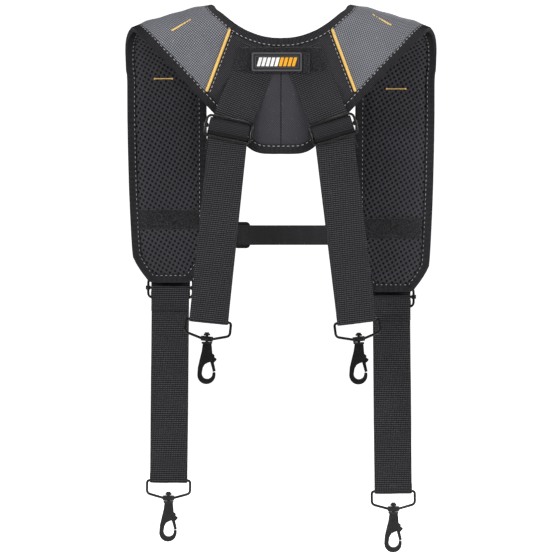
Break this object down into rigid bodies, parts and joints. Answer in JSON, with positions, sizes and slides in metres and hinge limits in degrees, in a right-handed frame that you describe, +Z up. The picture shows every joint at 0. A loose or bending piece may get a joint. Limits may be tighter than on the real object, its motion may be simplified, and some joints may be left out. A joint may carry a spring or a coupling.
{
  "type": "padded tool belt suspenders",
  "caption": "Padded shoulder harness for a tool belt: yoke pad, two front pads, chest strap, and adjustable webbing straps that end in swivel trigger hooks.",
  "frame": {"origin": "midway between the two shoulder arches, at the height of the undersides of their middles, where the harness rests on the wearer's shoulders", "axes": "+Z up, +X to the wearer's right, +Y to the wearer's front; the yoke is behind, at -Y"},
  "size_m": [0.4006, 0.1308, 0.7],
  "materials": {
    "pad_cover": "black polyester twill, matt",
    "grey_ripstop": "grey coated ripstop with a fine diamond grid, low sheen",
    "spacer_mesh": "black open spacer mesh, matt",
    "binding_tape": "black woven binding tape, slight sheen",
    "webbing_black": "black nylon webbing, coarse plain weave",
    "loop_tape": "black loop tape, fuzzy",
    "amber_cord": "amber piping and bar-tack thread",
    "white_thread": "white sewing thread",
    "label_rubber": "moulded soft rubber, satin",
    "mark_white": "white moulded bars",
    "mark_amber": "amber moulded bars",
    "buckle_plastic": "black moulded acetal, satin",
    "black_metal": "black electrophoretic coating on steel and cast zinc, glossy",
    "spring_steel": "bright spring wire"
  },
  "bodies": {
    "root": {"yoke_pad": "pad_cover", "yoke_lining": "spacer_mesh", "yoke_neck_binding": "binding_tape", "yoke_tail_binding": "binding_tape", "hanger_tape": "loop_tape", "back_left_webbing_upper": "webbing_black", "back_right_webbing_upper": "webbing_black"},
    "front_panels": {"front_left_pad": "pad_cover", "front_left_lining": "spacer_mesh", "front_left_binding": "binding_tape", "front_right_pad": "pad_cover", "front_right_lining": "spacer_mesh", "front_right_binding": "binding_tape", "keeper_left": "webbing_black", "keeper_right": "webbing_black", "chest_strap": "webbing_black", "chest_anchor": "webbing_black", "buckle_socket": "buckle_plastic", "front_left_webbing_upper": "webbing_black", "front_right_webbing_upper": "webbing_black"},
    "chest_plug": {"buckle_plug": "buckle_plastic"},
    "hanger": {"hanger_flap": "loop_tape", "label_patch": "label_rubber"},
    "back_left_slider": {"back_left_slider_frame": "black_metal"},
    "back_left_bar": {"back_left_slider_bar": "black_metal", "back_left_webbing_return": "webbing_black"},
    "back_left_strap": {"back_left_webbing_lower": "webbing_black"},
    "back_left_bail": {"back_left_bail": "black_metal"},
    "back_left_hook": {"back_left_hook_body": "black_metal", "back_left_gate_pin": "black_metal", "back_left_gate_spring": "spring_steel"},
    "back_left_gate": {"back_left_gate": "black_metal"},
    "back_right_slider": {"back_right_slider_frame": "black_metal"},
    "back_right_bar": {"back_right_slider_bar": "black_metal", "back_right_webbing_return": "webbing_black"},
    "back_right_strap": {"back_right_webbing_lower": "webbing_black"},
    "back_right_bail": {"back_right_bail": "black_metal"},
    "back_right_hook": {"back_right_hook_body": "black_metal", "back_right_gate_pin": "black_metal", "back_right_gate_spring": "spring_steel"},
    "back_right_gate": {"back_right_gate": "black_metal"},
    "front_left_slider": {"front_left_slider_frame": "black_metal"},
    "front_left_bar": {"front_left_slider_bar": "black_metal", "front_left_webbing_return": "webbing_black"},
    "front_left_strap": {"front_left_webbing_lower": "webbing_black"},
    "front_left_bail": {"front_left_bail": "black_metal"},
    "front_left_hook": {"front_left_hook_body": "black_metal", "front_left_gate_pin": "black_metal", "front_left_gate_spring": "spring_steel"},
    "front_left_gate": {"front_left_gate": "black_metal"},
    "front_right_slider": {"front_right_slider_frame": "black_metal"},
    "front_right_bar": {"front_right_slider_bar": "black_metal", "front_right_webbing_return": "webbing_black"},
    "front_right_strap": {"front_right_webbing_lower": "webbing_black"},
    "front_right_bail": {"front_right_bail": "black_metal"},
    "front_right_hook": {"front_right_hook_body": "black_metal", "front_right_gate_pin": "black_metal", "front_right_gate_spring": "spring_steel"},
    "front_right_gate": {"front_right_gate": "black_metal"}
  },
  "joints": [
    {"name": "shoulder_fold", "type": "hinge", "parent": "root", "child": "front_panels", "pos_m": [0, 0, 0.0275], "axis": [1, 0, 0], "range_deg": [0, 25]},
    {"name": "hanger_open", "type": "hinge", "parent": "root", "child": "hanger", "pos_m": [0.033, -0.0574, -0.051], "axis": [0, 0, 1], "range_deg": [0, 100]},
    {"name": "chest_buckle_release", "type": "slide", "parent": "front_panels", "child": "chest_plug", "axis": [1, 0, 0], "range_m": [0, 0.025]},
    {"name": "back_left_adjust", "type": "slide", "parent": "root", "child": "back_left_slider", "axis": [-0.1045, 0, -0.9945], "range_m": [0, 0.12]},
    {"name": "back_left_bar_slide", "type": "slide", "parent": "back_left_slider", "child": "back_left_bar", "axis": [0.2079, 0, 0.9781], "range_m": [-0.004, 0.004]},
    {"name": "back_left_drop", "type": "slide", "parent": "root", "child": "back_left_strap", "axis": [-0.1045, 0, -0.9945], "range_m": [0, 0.06]},
    {"name": "back_left_bail_swing", "type": "hinge", "parent": "back_left_strap", "child": "back_left_bail", "pos_m": [-0.08948, -0.05495, -0.3707], "axis": [0.9945, 0, -0.1045], "range_deg": [-80, 80]},
    {"name": "back_left_hook_swivel", "type": "hinge", "parent": "back_left_bail", "child": "back_left_hook", "pos_m": [-0.09184, -0.05495, -0.39317], "axis": [0, 0, 1], "continuous": true},
    {"name": "back_left_gate_open", "type": "hinge", "parent": "back_left_hook", "child": "back_left_gate", "pos_m": [-0.09154, -0.05495, -0.40857], "axis": [0, 1, 0], "range_deg": [0, 22], "stiffness_Nm_per_rad": 0.02, "springref_deg": -20.05},
    {"name": "back_right_adjust", "type": "slide", "parent": "root", "child": "back_right_slider", "axis": [0.1219, 0, -0.9925], "range_m": [0, 0.12]},
    {"name": "back_right_bar_slide", "type": "slide", "parent": "back_right_slider", "child": "back_right_bar", "axis": [-0.2924, 0, 0.9563], "range_m": [-0.004, 0.004]},
    {"name": "back_right_drop", "type": "slide", "parent": "root", "child": "back_right_strap", "axis": [0.1219, 0, -0.9925], "range_m": [0, 0.06]},
    {"name": "back_right_bail_swing", "type": "hinge", "parent": "back_right_strap", "child": "back_right_bail", "pos_m": [0.09373, -0.05495, -0.37122], "axis": [0.9925, 0, 0.1219], "range_deg": [-80, 80]},
    {"name": "back_right_hook_swivel", "type": "hinge", "parent": "back_right_bail", "child": "back_right_hook", "pos_m": [0.09648, -0.05495, -0.39365], "axis": [0, 0, 1], "continuous": true},
    {"name": "back_right_gate_open", "type": "hinge", "parent": "back_right_hook", "child": "back_right_gate", "pos_m": [0.09678, -0.05495, -0.40905], "axis": [0, 1, 0], "range_deg": [0, 22], "stiffness_Nm_per_rad": 0.02, "springref_deg": -20.05},
    {"name": "front_left_adjust", "type": "slide", "parent": "front_panels", "child": "front_left_slider", "axis": [-0.0087, 0, -1], "range_m": [0, 0.12]},
    {"name": "front_left_bar_slide", "type": "slide", "parent": "front_left_slider", "child": "front_left_bar", "axis": [0.0087, 0, 1], "range_m": [-0.004, 0.004]},
    {"name": "front_left_drop", "type": "slide", "parent": "front_panels", "child": "front_left_strap", "axis": [-0.0087, 0, -1], "range_m": [0, 0.06]},
    {"name": "front_left_bail_swing", "type": "hinge", "parent": "front_left_strap", "child": "front_left_bail", "pos_m": [-0.14517, 0.05495, -0.57949], "axis": [1, 0, -0.0087], "range_deg": [-80, 80]},
    {"name": "front_left_hook_swivel", "type": "hinge", "parent": "front_left_bail", "child": "front_left_hook", "pos_m": [-0.14537, 0.05495, -0.60209], "axis": [0, 0, 1], "continuous": true},
    {"name": "front_left_gate_open", "type": "hinge", "parent": "front_left_hook", "child": "front_left_gate", "pos_m": [-0.14507, 0.05495, -0.61749], "axis": [0, 1, 0], "range_deg": [0, 22], "stiffness_Nm_per_rad": 0.02, "springref_deg": -20.05},
    {"name": "front_right_adjust", "type": "slide", "parent": "front_panels", "child": "front_right_slider", "axis": [0.0087, 0, -1], "range_m": [0, 0.12]},
    {"name": "front_right_bar_slide", "type": "slide", "parent": "front_right_slider", "child": "front_right_bar", "axis": [-0.0087, 0, 1], "range_m": [-0.004, 0.004]},
    {"name": "front_right_drop", "type": "slide", "parent": "front_panels", "child": "front_right_strap", "axis": [0.0087, 0, -1], "range_m": [0, 0.06]},
    {"name": "front_right_bail_swing", "type": "hinge", "parent": "front_right_strap", "child": "front_right_bail", "pos_m": [0.14519, 0.05495, -0.59349], "axis": [1, 0, 0.0087], "range_deg": [-80, 80]},
    {"name": "front_right_hook_swivel", "type": "hinge", "parent": "front_right_bail", "child": "front_right_hook", "pos_m": [0.14539, 0.05495, -0.61609], "axis": [0, 0, 1], "continuous": true},
    {"name": "front_right_gate_open", "type": "hinge", "parent": "front_right_hook", "child": "front_right_gate", "pos_m": [0.14569, 0.05495, -0.63149], "axis": [0, 1, 0], "range_deg": [0, 22], "stiffness_Nm_per_rad": 0.02, "springref_deg": -20.05}
  ],
  "couplings": [
    {"joint": "back_left_drop", "follows": "back_left_adjust", "ratio": 0.5},
    {"joint": "back_right_drop", "follows": "back_right_adjust", "ratio": 0.5},
    {"joint": "front_left_drop", "follows": "front_left_adjust", "ratio": 0.5},
    {"joint": "front_right_drop", "follows": "front_right_adjust", "ratio": 0.5}
  ]
}
